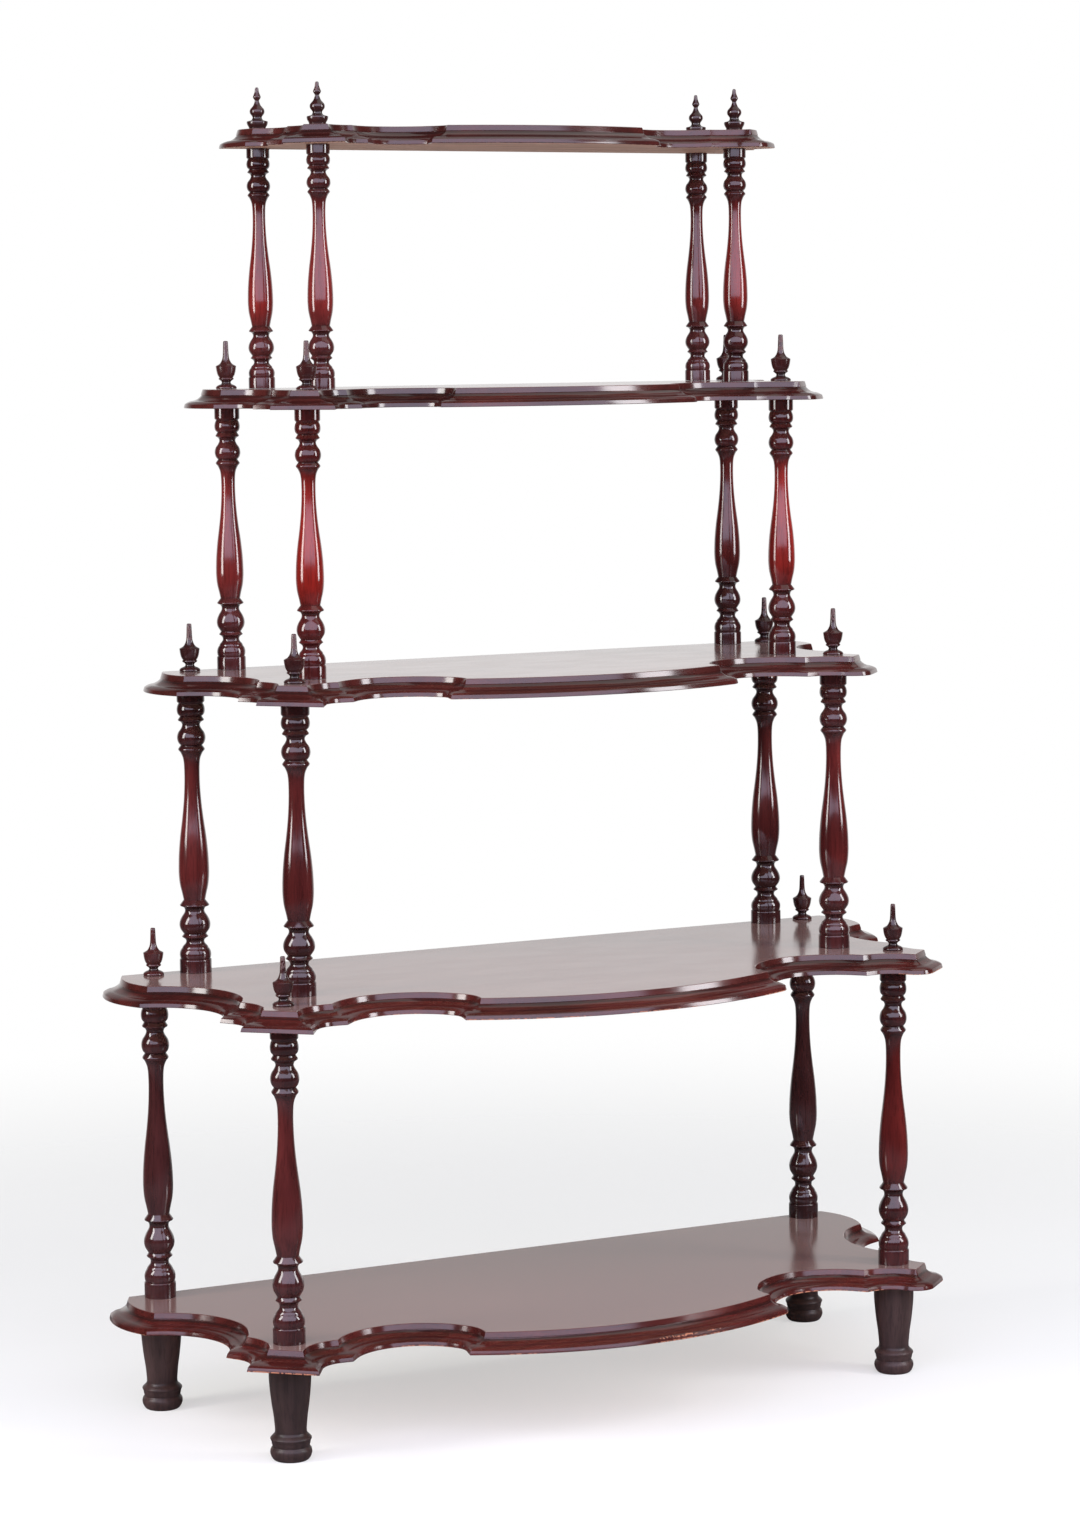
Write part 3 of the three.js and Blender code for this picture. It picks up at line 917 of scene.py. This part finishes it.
# It fades away between these distances from its middle
FLOOR_FADE = (0.9, 2.6)
# The wall behind the etagere, as its varnish reflects it: the cosines from straight behind
# between which it fades in, its colour, and the sines of the angles above the horizon between
# which it dims to a lower share
WALL_EDGE = (0.5, 0.9)
WALL_COLOUR = (1.03, 1.03, 1.03, 1)
WALL_DIMMING = (0.16, 0.26)
WALL_UPPER_SHARE = 0.4
ROOM_COLOUR = (0.03, 0.03, 0.034, 1)
AMBIENT_COLOUR = (0.09, 0.09, 0.09, 1)
WHITE = (1, 1, 1, 1)
# Name, azimuth, distance, height, size, watts, colour and aim of each soft box
SOFT_BOXES = (
    ("left_box", -66, 2.6, 1.75, (0.7, 2.0), 62, (1, 0.98, 0.96), 1.6),
    ("right_box", 76, 2.6, 1.75, (0.7, 2.0), 62, (0.97, 0.96, 1), 1.6),
    ("front_panel", 2, 2.88, 2.46, (8.2, 3.4), 304, (0.8, 0.77, 1), -0.74),
    ("ceiling_panel", 110, 0.9, 3.2, (2.6, 2.6), 19, (0.95, 1, 0.96), 0),
)


def make_floor():
    """A pale floor that keeps the shadow and fades into the white around it."""
    bpy.ops.mesh.primitive_circle_add(vertices=96, radius=FLOOR_RADIUS, fill_type="NGON")
    floor = bpy.context.object
    floor.name = "floor"
    material = bpy.data.materials.new("floor_paper")
    material.use_nodes = True
    tree = material.node_tree
    tree.nodes.remove(tree.nodes["Principled BSDF"])
    output = tree.nodes["Material Output"]
    paper = add_node(tree, "ShaderNodeBsdfDiffuse", {"Color": FLOOR_PAPER})
    dim = add_node(tree, "ShaderNodeBsdfDiffuse", {"Color": FLOOR_REFLECTED})
    shaded = add_node(tree, "ShaderNodeBsdfDiffuse", {"Color": FLOOR_SHADED})
    glow = add_node(tree, "ShaderNodeEmission", {"Color": WHITE, "Strength": FLOOR_GLOW})
    seen = add_node(tree, "ShaderNodeAddShader", {0: shaded.outputs[0], 1: glow.outputs[0]})
    path = add_node(tree, "ShaderNodeLightPath").outputs
    for ray, shader in (("Is Glossy Ray", dim), ("Is Camera Ray", seen)):
        inputs = {0: path[ray], 1: paper.outputs[0], 2: shader.outputs[0]}
        paper = add_node(tree, "ShaderNodeMixShader", inputs)
    clear = add_node(tree, "ShaderNodeBsdfTransparent")
    centre = add_node(tree, "ShaderNodeVectorMath", {0: object_place(tree)}, operation="LENGTH")
    gone = fade(tree, centre.outputs["Value"], *FLOOR_FADE)
    inputs = {0: gone, 1: paper.outputs[0], 2: clear.outputs[0]}
    mixed = add_node(tree, "ShaderNodeMixShader", inputs)
    tree.links.new(mixed.outputs[0], output.inputs["Surface"])
    floor.data.materials.append(material)
    floor.select_set(False)


def make_world():
    """White behind the etagere, and a dim room for what its varnish reflects elsewhere."""
    world = bpy.data.worlds.new("studio")
    bpy.context.scene.world = world
    world.use_nodes = True
    tree = world.node_tree
    background = tree.nodes["Background"]
    direction = add_node(tree, "ShaderNodeTexCoord").outputs["Generated"]
    inputs = {0: direction, 1: tuple(ahead())}
    behind = add_node(tree, "ShaderNodeVectorMath", inputs, operation="DOT_PRODUCT")
    wall = fade(tree, behind.outputs["Value"], *WALL_EDGE)
    height = add_node(tree, "ShaderNodeSeparateXYZ", {0: direction}).outputs["Z"]
    low = fade(tree, height, *WALL_DIMMING, 1.0, WALL_UPPER_SHARE)
    seen = blend_colours(tree, multiply(tree, wall, low), ROOM_COLOUR, WALL_COLOUR)
    path = add_node(tree, "ShaderNodeLightPath").outputs
    inputs = {0: path["Is Glossy Ray"], 1: path["Is Transmission Ray"]}
    reflected = add_node(tree, "ShaderNodeMath", inputs, operation="MAXIMUM")
    colour = blend_colours(tree, reflected.outputs[0], AMBIENT_COLOUR, seen)
    colour = blend_colours(tree, path["Is Camera Ray"], colour, WHITE)
    tree.links.new(colour, background.inputs["Color"])
    background.inputs["Strength"].default_value = 1


def soft_box(name, azimuth, distance, height, size, strength, colour, aim):
    """A soft box around the etagere, turned to the height aim on the etagere's axis.

    Its azimuth, in degrees, is 0 towards the camera and grows to the right of the picture.
    """
    data = bpy.data.lights.new(name, "AREA")
    data.shape = "RECTANGLE"
    data.size, data.size_y = size
    data.energy = strength
    data.color = colour
    lamp = bpy.data.objects.new(name, data)
    bpy.context.scene.collection.objects.link(lamp)
    turn = Matrix.Rotation(math.radians(azimuth), 3, "Z")
    place = turn @ -ahead() * distance + Vector((0, 0, height))
    aimed = Vector((0, 0, aim)) - place
    lamp.location = place
    lamp.rotation_mode = "QUATERNION"
    lamp.rotation_quaternion = aimed.to_track_quat("-Z", "Y")
    lamp.visible_camera = False


def make_lights():
    for settings in SOFT_BOXES:
        soft_box(*settings)


make_camera()
make_feet()
for shelf_number in range(1, 6):
    make_shelf(shelf_number)
make_posts()
make_finials()
make_floor()
make_world()
make_lights()
bpy.context.scene.view_settings.view_transform = "Standard"
